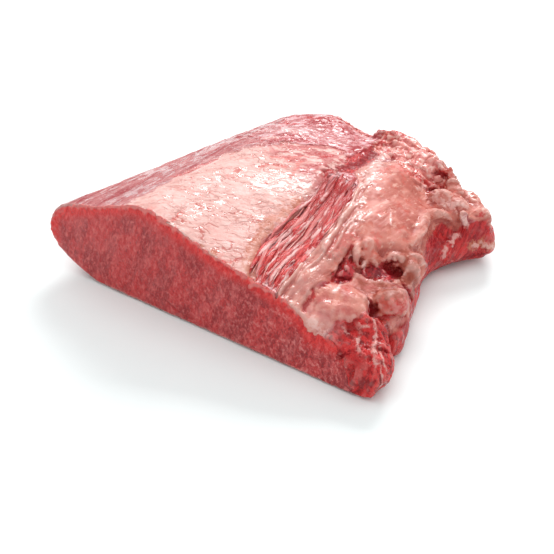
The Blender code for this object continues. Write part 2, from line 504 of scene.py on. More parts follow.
def relaxed(mesh, values, rounds, share):
    """The values, moved towards the mean of each point's neighbours again and again."""
    edges = np.empty(len(mesh.edges) * 2, np.int32)
    mesh.edges.foreach_get("vertices", edges)
    a, b = edges.reshape(-1, 2).T
    size = len(values)
    count = np.maximum(np.bincount(a, minlength=size) + np.bincount(b, minlength=size), 1)
    for _ in range(rounds):
        sums = [
            np.bincount(a, column[b], size) + np.bincount(b, column[a], size)
            for column in values.T
        ]
        values = values + share * (np.stack(sums, axis=1) / count[:, None] - values)
    return values


join_into(core, [*balls, *rolls, beads])
remesh = core.modifiers.new("skin", "REMESH")
remesh.mode = "VOXEL"
remesh.voxel_size = VOXEL
skin = evaluated_mesh(core)
bpy.data.objects.remove(core)
move_points(skin, relaxed(skin, places_of(skin), rounds=5, share=0.6))
print("skin points", len(skin.vertices))

# %% [markdown]
# ## Where each tissue lies
# From above, in millimetres: the window where the muscle's strands lie bare, the fat cap,
# the thick sheet of fat beyond the window, the smooth lobes and the pockets. The lean wall
# under the sheet is drawn from the right, and the cut by the height of its top edge.

# %% Outlines seen from above
WINDOW_LEFT = [
    (34, -113), (27, -95), (22, -80), (20, -65), (21, -50), (21, -38), (20, -26), (19, -12), (17, 0),
    (15, 12),
]
WINDOW_RIGHT = [
    (54, -113), (50, -97), (49, -86), (49, -75), (50, -64), (50, -54), (49, -43), (46, -27), (43, -13),
    (39, 2), (37, 12),
]
OUTLINES = {
    "window": WINDOW_LEFT + WINDOW_RIGHT[::-1],
    "cap": [
        (-57, -118), (-59, -85), (-62, -60), (-60, -41), (-57, -16), (-48, 0), (-36, 12), (-26, 28),
        (-12, 42), (5, 47), (16, 36), (18, 14), (20, -12), (21, -38), (20, -65), (22, -80), (27, -95),
        (36, -118),
    ],
    "sheet": [
        (53, -118), (49, -86), (49, -70), (51, -54), (49, -43), (43, -13), (37, 14), (28, 24), (27, 40),
        (32, 56), (44, 61), (62, 54), (80, 48), (92, 48), (102, 50), (99, 40), (90, 34), (92, 16),
        (99, -6), (106, -18), (107, -34), (103, -44), (92, -50), (80, -58), (72, -72), (67, -84),
        (68, -98), (70, -118),
    ],
    "streak": [
        (9, 14), (26, 19), (29, 28), (28, 42), (26, 58), (24, 74), (21, 88), (14, 86), (14, 66),
        (13, 48), (11, 30),
    ],
    "beads": BEADS,
    "far rolls": [
        (66, 62), (72, 86), (92, 86), (110, 76), (115, 60), (106, 49), (96, 42), (82, 42), (74, 52),
    ],
    "lobe": [
        (67, -99), (67, -88), (73, -79), (85, -73), (97, -74), (100, -82), (97, -93), (90, -98),
        (86, -109), (76, -114), (69, -109),
    ],
    "small lobe": [
        (91, -66), (94, -56), (99, -50), (107, -48), (117, -53), (118, -64), (111, -73), (102, -72),
        (96, -71),
    ],
    "pocket": [(66, -49), (65, -57), (67, -69), (72, -72), (78, -63), (75, -53), (70, -46)],
    "dark pocket": [
        (78, -53), (80, -47), (86, -41), (90, -35), (95, -32), (99, -36), (98, -44), (92, -50), (85, -54),
    ],
    "bridge": [(69, -78), (70, -66), (78, -58), (90, -54), (101, -47), (102, -56), (94, -66), (86, -76)],
    "hole": [(96, -72), (98, -78), (101, -84), (104, -78), (101, -71)],
    "tip": [(92, -120), (90, -100), (97, -93), (101, -84), (106, -73), (118, -70), (134, -80), (134, -120)],
}
# Below or above these heights, in mm, a tissue ends even inside its outline.
LOWEST = {"cap": 30, "sheet": 24, "lobe": 20, "small lobe": 21, "far rolls": 21, "beads": 26, "tip": -9}
USUAL_LOWEST = 30
HIGHEST = {"pocket": 46, "hole": 38}
print("outlines", len(OUTLINES))

# %% Measure every point against them
at = places_of(skin) / MM
facing = normals_of(skin)
inside = {}
for tissue, outline in OUTLINES.items():
    depth = depth_inside(outline, at[:, :2])
    inside[tissue] = np.minimum(depth, at[:, 2] - LOWEST.get(tissue, USUAL_LOWEST))
    if tissue in HIGHEST:
        inside[tissue] = np.minimum(inside[tissue], HIGHEST[tissue] - at[:, 2])

# The wall of bare lean under the sheet, seen from the right: along the grain and up, in mm.
WALL = [
    (-12, 42), (-6, 44), (6, 42), (20, 39), (36, 35), (41, 30), (37, 22), (22, 15), (8, 16), (-6, 28),
    (-13, 36),
]
WALL_STARTS = 84  # the wall lies to the right of this, in mm
inside["wall"] = np.minimum(depth_inside(WALL, at[:, 1:]), (at[:, 0] - WALL_STARTS) * 1.5)

# The height of the cut's top edge, from left to right, in mm.
CUT_EDGE = np.array([
    (-128, 36), (-116, 46), (-105, 51), (-83, 60), (-60, 69), (-50, 71.5), (-40, 71), (-22, 65), (-3, 59),
    (16, 53.5), (32, 52), (52, 46), (62, 43), (69, 38), (76, 30), (84, 28), (96, 29), (104, 25), (112, 19),
    (128, 16),
])
# Where the knife's plane meets the table, how far it leans back at the top edge, and where
# the skin is too far back to be cut, in mm.
KNIFE_FRONT, KNIFE_LEAN, CUT_ENDS = -112.4, 5.0, -99
edge_height = np.interp(at[:, 0], *CUT_EDGE.T)


def knife_plane(heights):
    """How far forward the plane of the cut is at these heights, in mm."""
    return KNIFE_FRONT + KNIFE_LEAN * np.clip(heights / edge_height, 0, 1)


# The cut faces the front, stays below its top edge and ends where the tip is torn.
torn_from = 92 + 0.7 * (31 - at[:, 2]) + 5 * noise(at, 11, 41) + 2.5 * noise(at, 4, 42)
faces_front = (-facing[:, 1] - 0.42) * 6 + 0.5 * noise(at, 5, 43)
below_edge = edge_height - at[:, 2]
near_front = knife_plane(at[:, 2]) + 1.4 + 1.5 * noise(at, 3.4, 46) - at[:, 1]
inside["cut"] = np.minimum.reduce([
    np.maximum(faces_front, near_front), CUT_ENDS - at[:, 1], torn_from - at[:, 0],
    below_edge + 2.4 + 2.8 * noise(at, 3, 47) * ramp(at[:, 0], -118, -95),
])
inside["rim"] = np.minimum(below_edge, at[:, 0] + 125)
inside["window"] += 0.9 * noise(at, 7, 40) - ramp(at[:, 1], 4, 20) * (1.5 + 3 * noise(at, 3.4, 52))
inside["pocket"] += 1.2 * noise(at, 4, 53)
inside["hole"] += 1.2 * noise(at, 3, 54)
inside["dark pocket"] += 1.6 * noise(at, 5, 48) + 0.9 * noise(at, 2.4, 49)
print("window mm deep", round(inside["window"].max(), 1), "cut mm deep", round(inside["cut"].max(), 1))

# %% [markdown]
# ## The relief
# Each tissue has its own surface. The fat cap is crossed by fine wrinkles; a rounded lip of
# fat stands along the window, and the window's floor lies lower; the silverskin on the left
# slope is drawn into streaks along the grain; the bare lean on the torn side is all fibres;
# the underside is pressed nearly flat. Every rule gives a height in millimetres, and
# the heights are added along each point's normal.


# %% Heights of each tissue
def within(tissue, edge=1.0):
    """1 inside a tissue, 0 outside, with an edge this many mm wide."""
    return ramp(inside[tissue], -edge, edge)


def edge_at(edge, along):
    """How far to the right an edge drawn from above lies, at this distance along the grain."""
    right, grainwise = np.array(edge, float).T
    return np.interp(along, grainwise, right)


def ridges(points, size, seed):
    """Sharp valleys between soft swells, 0 in a valley and about 1 on a swell."""
    return np.minimum(1, np.abs(noise(points, size, seed)) * 2.2)


WRINKLE_WAY = (0.86, 0.5, 0)  # the wrinkles run mostly across the grain
GRAIN = (0, 1, 0)  # the muscle's grain runs from the cut to the back
wrinkle_at = drawn_out(at + 1.5 * noise(at, 9, 60)[:, None], WRINKLE_WAY, 2.6)
grain_at = drawn_out(at, GRAIN, 7)
fibre_at = drawn_out(at, (0.1, 0.55, 0.8), 6)

height = 0.5 * noise(at, 34, 1) + 0.25 * noise(at, 12, 2)

creased = 0.35 + 0.65 * ramp(at[:, 1] + 0.4 * at[:, 0], -60, -5)
cap_relief = 0.5 * ridges(wrinkle_at, 7.0, 3) + 0.16 * ridges(wrinkle_at, 3.0, 4)
height += within("cap", 2) * (creased * (cap_relief - 0.6) + 0.4 * noise(at, 16, 5))

lip = np.exp(-((-inside["window"] - 3.2) / 2.4) ** 2) * within("cap", 1)
height += 0.9 * lip

on_slope = ramp(-at[:, 0], 40, 60) * (1 - within("cap", 3)) * (1 - within("cut", 2))
height += on_slope * (0.35 * noise(grain_at, 4.5, 6) + 0.2 * noise(grain_at, 2.0, 7))

behind = (1 - within("cap", 3)) * ramp(at[:, 1], 10, 35) * ramp(at[:, 2], 30, 40) * (1 - within("sheet", 2))
height += behind * (0.5 * ridges(wrinkle_at, 5.0, 8) + 0.4 * noise(at, 5, 9) - 0.3)

height += within("sheet", 2) * (0.6 * noise(at, 14, 10) + 0.35 * noise(at, 5, 11))
height += (within("lobe", 2) + within("small lobe", 2)) * (0.7 * noise(at, 9, 50) + 0.3 * noise(at, 4, 51))
beside = at[:, 0] - edge_at(WINDOW_RIGHT, at[:, 1])
ribs = within("sheet", 2) * ramp(beside, -1, 2) * ramp(-beside, -14, -7) * ramp(-at[:, 1], -22, 0)
rib_at = drawn_out(np.column_stack([beside, at[:, 1], 0.3 * at[:, 2]]), GRAIN, 6)
height += ribs * (1.3 - 4.6 * np.abs(noise(rib_at, 4.6, 12)))

height += within("beads", 2) * (1.0 * pebbles(at, 7.0, 13) - 0.5 + 0.9 * noise(at, 4.5, 14))
height += within("far rolls", 2) * (0.6 * noise(at, 6, 15) + 0.6 * pebbles(at, 6.0, 45) - 0.3)
print("swells reach", round(height.max(), 2), "mm and dips", round(height.min(), 2), "mm")

# %% Lean, pockets and the cut
streaky = 0.7 * noise(fibre_at, 3.0, 16) + 0.35 * noise(fibre_at, 1.6, 17)
height += within("wall", 1.5) * (streaky - 1.2)
upright_at = drawn_out(at, (0.15, 0.1, 1), 4)
tip_fibres = 1.2 * noise(upright_at, 5.0, 18) + 0.6 * noise(upright_at, 2.4, 19) + 0.5 * noise(at, 4, 44)
on_tip = within("tip", 3) * (1 - within("lobe", 1)) * (1 - within("small lobe", 1))
height += on_tip * (1 - 0.75 * within("cut", 3)) * tip_fibres
torn_side = ramp(at[:, 0], 84, 96) * ramp(-at[:, 2], -32, -24) * (1 - within("cut", 3)) * (1 - on_tip)
torn_fibres = 0.7 * noise(fibre_at, 5, 20) + 0.3 * noise(fibre_at, 2.4, 21)
height += torn_side * (1 - within("wall", 2)) * torn_fibres
height -= 1.0 * within("pocket", 2.5) + 3.4 * within("dark pocket", 2.6) + 1.8 * within("hole", 2.0)
height += (within("pocket", 2) + within("dark pocket", 2)) * 0.8 * noise(fibre_at, 3.5, 22)
height -= 1.1 * ramp(inside["streak"], -2, 4) * (1 - within("window", 1))

cut_swell = 0.7 * noise(at, 26, 23) + (0.25 + 0.25 * ramp(-inside["rim"], -7, -1)) * noise(at, 3.6, 24)
height = height * (1 - within("cut", 1.2)) + cut_swell * within("cut", 1.2)
under = ramp(-facing[:, 2], 0.3, 0.8)
height = height * (1 - under) + under * 0.4 * (noise(grain_at, 8, 25) - 0.6)

# %% [markdown]
# ## Strokes
# No rule gives the slits, the white films or the red patches that make this piece itself.
# Each stroke is a short path in millimetres with a radius, a rise or a dip along it, and the
# tint it leaves. More than half of the points were measured by casting rays onto the body
# and not placed by hand. The paths are first dropped onto the nearest point of the skin, so
# they stay on the surface when the forms below them are changed.

# %% Slits, creases and shadows
# Tint, radius, rise, path.
STROKES = [
    ("blood", 1.7, -1.6, [(68, -89, 46), (69, -96, 44), (70, -104, 42)]),  # slit beside the large lobe
    ("blood", 0.9, -0.9, [(69, -86, 46), (71, -78, 46), (71, -70, 44)]),
    ("dark", 1.1, -1.8, [(65, -53, 45), (66, -60, 43), (69, -67, 42), (76, -62, 43)]),  # left pocket
    ("blood", 0.9, -0.9, [(67, -43, 50), (66, -48, 48), (65, -53, 45)]),
    ("dark", 1.5, -2.6, [(95, -71, 39), (97, -71, 35), (100, -72, 32), (104, -81, 35)]),  # between lobes
    ("blood", 1.6, -1.0, [(90, -99, 38), (95, -96, 37), (99, -91, 38)]),  # under the large lobe
    ("blood", 4.5, -6.5, [(66, 86, 44), (71, 81, 43)]),  # dip beside the flap
    ("tan", 6.0, -6.0, [(62, 93, 42), (68, 92, 37), (75, 89, 33), (84, 85, 30)]),
    ("tan", 5.0, -2.0, [(82, 86, 38), (92, 79, 36), (104, 71, 31)]),
    ("flush", 7.0, -3.2, [(-26, 104, 44), (-12, 103, 44), (-2, 100, 47)]),  # the back edge dips
    ("dark", 4.0, -0.6, [(87, -36, 40), (91, -34, 36), (95, -35, 34)]),  # the end of the dark pocket
    ("dark", 2.4, -1.0, [(66, 70, 45), (71, 74, 43)]),
    ("dark", 1.8, -1.8, [(103, -40, 35), (107, -42, 32), (108, -39, 25)]),  # behind the small lobe
    ("dark", 1.2, -1.6, [(99, -110, 22), (103, -108, 27), (105, -107, 29)]),  # crease in the tip
    ("dark", 1.8, -1.6, [(122, -93, 26), (118, -96, 29)]),
    ("dark", 2.0, -2.6, [(70, 57, 43), (75, 64, 41)]),  # notch by the flap
    ("dark", 2.4, 0.0, [(107, 35, 10), (112, 44, 9), (120, 48, 9)]),
]

# %% Bare red places
STROKES += [
    ("blood", 3.0, 0.6, [(68, -55, 40), (70, -50, 39)]),  # in the left pocket
    ("blood", 3.0, -0.6, [(96, -95, 36), (100, -93, 33)]),  # under the large lobe
    ("blood", 1.4, -1.2, [(106, -73, 31), (112, -68, 31), (114, -56, 25)]),  # under the small lobe
    ("blood", 1.6, -0.8, [(91, -100, 36), (96, -103, 32), (100, -108, 28)]),
    ("blood", 4.0, 1.0, [(113, -66, 37), (115.5, -60, 34)]),
    ("blood", 1.8, 0.0, [(5, 95, 50), (14, 96, 50), (26, 96, 50)]),  # red end of the beads
    ("blood", 5.0, 1.2, [(106, -109, 25), (112, -109, 23), (112, -110, 18)]),  # lump on the tip
    ("blood", 1.8, -1.4, [(19, 85, 50), (25, 75, 49), (35, 67, 47)]),
    ("blood", 2.4, -0.6, [(66, 58, 45), (71, 69, 44)]),
    ("blood", 2.0, 0.0, [(108, 56, 33), (109, 66, 30)]),  # far tip
    ("blood", 2.4, 0.0, [(114, 54, 27), (120, 50, 22)]),
    ("blood", 2.6, -0.3, [(-62, -55, 63), (-58, -45, 63), (-58, -30, 60), (-56, -19, 59)]),  # left slope
    ("blood", 1.8, -0.2, [(-49, 11, 59), (-43, 17, 61)]),
    ("blood", 2.2, -0.3, [(2, 25, 60), (4, 32, 59)]),
    ("blood", 1.8, -0.2, [(-45, 83, 48), (-36, 82, 52)]),
    ("blood", 1.4, -0.2, [(-56, 62, 49), (-46, 66, 51)]),
    ("blood", 2.0, -0.8, [(14, 9, 59), (18, 17, 60)]),
    ("dark", 4.6, -0.5, [(17, 20, 57), (21, 36, 54), (21, 54, 51), (20, 66, 50)]),
    ("flush", 5.0, 0.0, [(104, -69, 37), (112, -65, 36)]),
    ("dull", 12.0, 0.0, [(98, -61, 40), (107, -60, 41)]),  # duller fat
    ("dull", 9.0, 0.0, [(100, -25, 41), (101, -30, 33)]),
    ("dull", 4.4, 0.0, [(60, -38, 56), (61, -50, 55), (62, -60, 52)]),
    ("pale", 3.0, 0.3, [(76, 46, 42), (85, 46, 41), (93, 49, 40)]),
    ("flush", 1.4, 0.0, [(81, -76, 46), (87, -79, 46)]),
    ("flush", 1.6, -0.3, [(-23, -14, 64), (-19, -8, 63), (-10, -5, 63)]),  # on the cap
    ("flush", 1.4, -0.3, [(1, -13, 62), (-2, -5, 62), (-5, 10, 62)]),
    ("flush", 1.4, -0.3, [(19, -97, 55), (17, -103, 55), (14, -106, 55)]),
    ("flush", 1.3, -0.2, [(-11, -22, 63), (-7, -31, 63)]),
    ("flush", 1.2, -0.2, [(-27, -104, 69), (-27, -94, 69)]),
    ("flush", 1.4, -0.2, [(-23, 0, 64), (-13, 7, 63), (-5, 22, 61)]),
    ("flush", 4.0, 0.0, [(43, 21, 57), (43, 48, 53), (53, 51, 52)]),  # on the sheet
    ("flush", 5.0, 0.0, [(60, -58, 54), (61, -48, 55), (62, -38, 55)]),
    ("flush", 1.6, 0.7, [(72, -37, 53), (75, -40, 50)]),
    ("flush", 1.8, 0.4, [(76, -31, 52), (80, -32, 49)]),
]

# %% White films, pale fat and tan edges
STROKES += [
    ("pale", 0.9, 0.6, [(68, -95, 45), (68, -89, 46), (69, -85, 47)]),
    ("pale", 1.2, 0.8, [(65, -55, 45), (67, -46, 45)]),  # left pocket
    ("pale", 1.3, 0.8, [(77, -46, 44), (81, -52, 40)]),
    ("pale", 1.5, 1.1, [(106, -83, 35), (110, -88, 29), (116, -100, 29), (121, -105, 25)]),  # down the tip
    ("pale", 1.3, 0.7, [(100, -91, 36), (103, -94, 32), (106, -102, 30), (111, -107, 27)]),
    ("pale", 0.8, 0.5, [(113, -92, 29), (117, -99, 28), (121, -104, 20), (121, -106, 12)]),
    ("pale", 1.6, 0.8, [(93, -97, 37), (98, -98, 32)]),
    ("pale", 1.0, 0.6, [(118, -96, 29), (123, -101, 26), (125, -102, 20)]),
    ("pale", 1.0, 0.5, [(99, -92, 34), (105, -88, 34)]),
    ("pale", 1.1, 0.6, [(79, -85, 46), (78, -78, 46), (78, -69, 42)]),  # crescent on the lobe
    ("pale", 3.4, 0.3, [(-45, 24, 60), (-38, 26, 60)]),  # pale patches at the back: pale film, painted paler as a highlight too
    ("pale", 3.4, 0.3, [(-42, 46, 56), (-33, 48, 57)]),
    ("pale", 4.4, 0.5, [(27, 66, 49), (32, 46, 52), (38, 30, 56), (42, 14, 57)]),  # torn film by the streak
    ("pale", 2.0, 0.8, [(94, 49, 41), (98, 52, 39)]),  # far rolls
    ("pale", 1.8, 1.4, [(100, 45, 38), (104, 44, 31)]),
    ("pale", 1.8, 0.6, [(65, 46, 46), (67, 54, 44)]),
    ("pale", 2.2, 0.9, [(100, 38, 25), (99, 30, 21), (98, 24, 17)]),  # film on the wall
    ("pale", 0.8, 0.3, [(55, -24, 57), (64, -36, 54)]),
    ("pale", 0.8, 0.3, [(71, -2, 55), (77, -13, 54)]),
    ("pale", 2.0, 0.0, [(110, 43, 18), (117, 47, 19), (122, 50, 17)]),
    ("tan", 3.6, 0.6, [(109, 42, 18), (116, 46, 19), (122, 50, 17)]),  # wedge at the far tip
    ("pale", 0.8, 0.6, [(96, -74, 39), (99, -79, 36), (103, -83, 34)]),  # threads over the hole
    ("pale", 0.7, 0.5, [(100, -72, 38), (102, -78, 34), (104, -84, 31)]),
    ("tan", 4.8, 0.0, [
        (34, -108, 50), (27, -97, 54), (21, -83, 56), (17, -71, 58), (16, -58, 59), (17, -46, 59),
        (17, -30, 59),
    ]),  # along the window
    ("tan", 2.4, 0.0, [(-11, -108, 59), (-3, -107, 59), (5, -106, 58)]),
    ("wet", 8.0, 0.0, [(-8, -24, 63), (4, -18, 62), (12, -8, 60)]),  # wet places, which shine and are also painted a little paler as a highlight
    ("wet", 9.0, 0.0, [(-54, 38, 54), (-42, 50, 56), (-10, 64, 57)]),
    ("wet", 6.0, 0.0, [(29, 67, 49), (38, 28, 56)]),
    ("wet", 7.0, 0.0, [(56, -104, 46), (56, -60, 51), (52, -20, 57)]),
    ("wet", 7.0, 0.0, [(74, -104, 39), (80, -106, 38), (88, -106, 35)]),
    # Pale fat on the fringe under the large lobe, painted paler as a highlight too.
    ("pale", 2.6, 0.0, [(76, -106, 38), (86, -107, 35)]),
    ("wet", 8.0, 0.0, [(30, 85, 48), (56, 72, 48)]),
    ("wet", 4.0, 0.0, [(-62, -24, 58), (-60, -20, 58)]),
    ("pale", 1.1, 0.0, [(-81, -112, 17), (-80.5, -112, 19.5)]),  # a spot of fat in the cut
    ("blood", 0.8, -0.5, [(-30, -112, 11), (-14, -112, 5), (-2, -112, 3)]),  # a seam in the cut
]
print("strokes", len(STROKES))

# %% Draw the strokes on the skin
touch = skin_tree(skin)
TINTS = ("blood", "dark", "pale", "flush", "tan", "dull", "wet")
tint = {name: np.zeros(len(at)) for name in TINTS}
# The ribs count as wet: they shine, and they get the painted highlight too.
tint["wet"] = 0.8 * ribs
for name, radius, rise, path in STROKES:
    landed = [np.array(touch.find_nearest(Vector(p) * MM)[0]) / MM for p in path]
    line = smooth_line(landed, steps=4)
    low, high = line.min(axis=0) - 3 * radius, line.max(axis=0) + 3 * radius
    near = np.where(np.all((at > low) & (at < high), axis=1))[0]
    away, _ = from_line(line, at[near])
    away += 0.6 * radius * noise(at[near], 4.0, 31) + 0.5 * radius * noise(at[near], 1.8, 32)
    tint[name][near] = np.maximum(tint[name][near], np.clip(1 - away / (2 * radius), 0, 1))
    height[near] += rise * np.exp(-((away / radius) ** 2))
print("drawn", {name: int((values > 0.5).sum()) for name, values in tint.items()})

# %% Move the skin
# The tip starts to roll over this far forward and this high, and reaches this much further.
TIP_FRONT, TIP_BASE, TIP_REACH, TIP_RISE = -92, 13, 22, 19
NOTCH_AT, NOTCH_RADIUS, NOTCH_DEPTH = (64, 89), 6.0, 13.0  # notch in the back corner
WINDOW_DROP = 1.2  # how far the window's floor lies below the fat around it


def rounded_tip(places):
    """The tip of lean has no top edge at the front: it rolls over from top to front."""
    ahead = np.clip((TIP_FRONT - places[:, 1]) / TIP_REACH, 0, None)
    up = np.clip((places[:, 2] - TIP_BASE) / TIP_RISE, 0, None)
    over = np.maximum(1, np.hypot(ahead, up))
    share = ramp(places[:, 0], 90, 103) * (1 - within("lobe", 2)) * (ahead > 0)
    places[:, 1] += share * (TIP_FRONT - ahead / over * TIP_REACH - places[:, 1])
    places[:, 2] += share * (TIP_BASE + up / over * TIP_RISE - places[:, 2]) * (up > 0)
    return places


sculpted = at + facing * height[:, None]
dropped = ramp(inside["window"], -0.6, 2.2) * (1 - 0.75 * within("cut", 3)) * ramp(-at[:, 1], -12, 4)
sculpted[:, 2] -= WINDOW_DROP * dropped
from_notch = np.hypot(at[:, 0] - NOTCH_AT[0], at[:, 1] - NOTCH_AT[1])
notch = np.exp(-((from_notch / NOTCH_RADIUS) ** 2)) * ramp(at[:, 2], 12, 32)
sculpted[:, 2] -= NOTCH_DEPTH * notch
sculpted = rounded_tip(sculpted)
squared = ramp(inside["cut"], -0.5, 1.0) * ramp(sculpted[:, 0], -122, -114)
squared *= ramp(torn_from - sculpted[:, 0], 0, 8)
on_plane = np.minimum(knife_plane(sculpted[:, 2]) + height, sculpted[:, 1])
sculpted[:, 1] += squared * (on_plane - sculpted[:, 1])
sculpted[:, 2] = np.maximum(sculpted[:, 2], 0.0)
move_points(skin, sculpted * MM)
print("moved", len(sculpted), "points")

# %% [markdown]
# ## Measures that the finish can read
# A material can read numbers stored on the points. The distances to the outlines are
# stored with the strokes' tints and one more measure: how deep a point lies between its
# neighbours, which the finish uses to paint shade into hollows and a highlight onto crests.
# Then the even skin is thinned: flat places need fewer triangles than wrinkled ones.

# %% Store the measures and thin the skin
TRIANGLES = 192000
FURTHEST = 24.0  # distances are stored up to this many mm

at = places_of(skin) / MM
smooth = relaxed(skin, at, rounds=14, share=0.7)
# Lean shows to the right of one line and below another, which wavers near the table.
LEAN_STARTS, LEAN_TOP = 88, 26
low_edge = 5 * noise(at, 16, 55) * ramp(-at[:, 2], -14, -4)
low_lean = at[:, 0] - LEAN_STARTS + np.minimum(0, LEAN_TOP - at[:, 2]) * 3 + low_edge
# The mottled back lies beyond a slanting line, above a height and between two sides.
behind_cap = [at[:, 1] + 0.35 * at[:, 0] - 4, at[:, 2] - 30, at[:, 0] + 62, 60 - at[:, 0]]
MEASURES = {
    **{name: inside[name] for name in ("cap", "window", "beads", "tip", "cut", "rim")},
    "behind": np.minimum.reduce(behind_cap),
    "fat": np.maximum(inside["sheet"], inside["far rolls"]),
    "lobes": np.maximum.reduce([inside["lobe"], inside["small lobe"], inside["bridge"]]),
    "pockets": np.maximum.reduce([inside["pocket"], inside["dark pocket"], inside["hole"]]),
    "lean": np.maximum.reduce([inside["streak"], inside["wall"], inside["tip"], low_lean]),
    # How deep a point lies between its neighbours, read by the finish for painted shade and painted
    # highlight.
    "cavity_for_painted_light": ((smooth - at) * normals_of(skin)).sum(axis=1),
}
for name, values in {**MEASURES, **tint}.items():
    layer = skin.attributes.new(name, "FLOAT", "POINT")
    layer.data.foreach_set("value", np.clip(values, -FURTHEST, FURTHEST).astype(np.float32))

body = new_object("raw_brisket", skin)
thin = body.modifiers.new("thin", "DECIMATE")
thin.ratio = min(1.0, TRIANGLES / triangle_count(skin))
thinned = evaluated_mesh(body)
body.modifiers.remove(thin)
places = places_of(thinned)
places[:, 2] = np.maximum(places[:, 2], 0.0)
move_points(thinned, places)
body.data = thinned
body.data.polygons.foreach_set("use_smooth", [True] * len(thinned.polygons))
print("triangles", triangle_count(skin), "thinned to", triangle_count(thinned))

# %% [markdown]
# ## A bench for finishes
# Every finish is built from the same few moves: read a stored measure, make a noise of a
# given size, turn a range into a share, and lay one tissue over another by that share. A
# tissue has a tone, a fine relief in millimetres, a roughness and a shine, and they are laid
# together. The bench wraps those moves, so a finish reads like a recipe. Tones are given
# as the eye sees them, and turned into the linear light that a renderer works with.


# %% The bench
def colour(tone):
    """A tone of 0-255 values in linear light; a socket stays as it is."""
    if isinstance(tone, bpy.types.NodeSocket):
        return tone
    return tuple(((c / 255 + 0.055) / 1.055) ** 2.4 if c > 10 else c / 3294 for c in tone) + (1.0,)


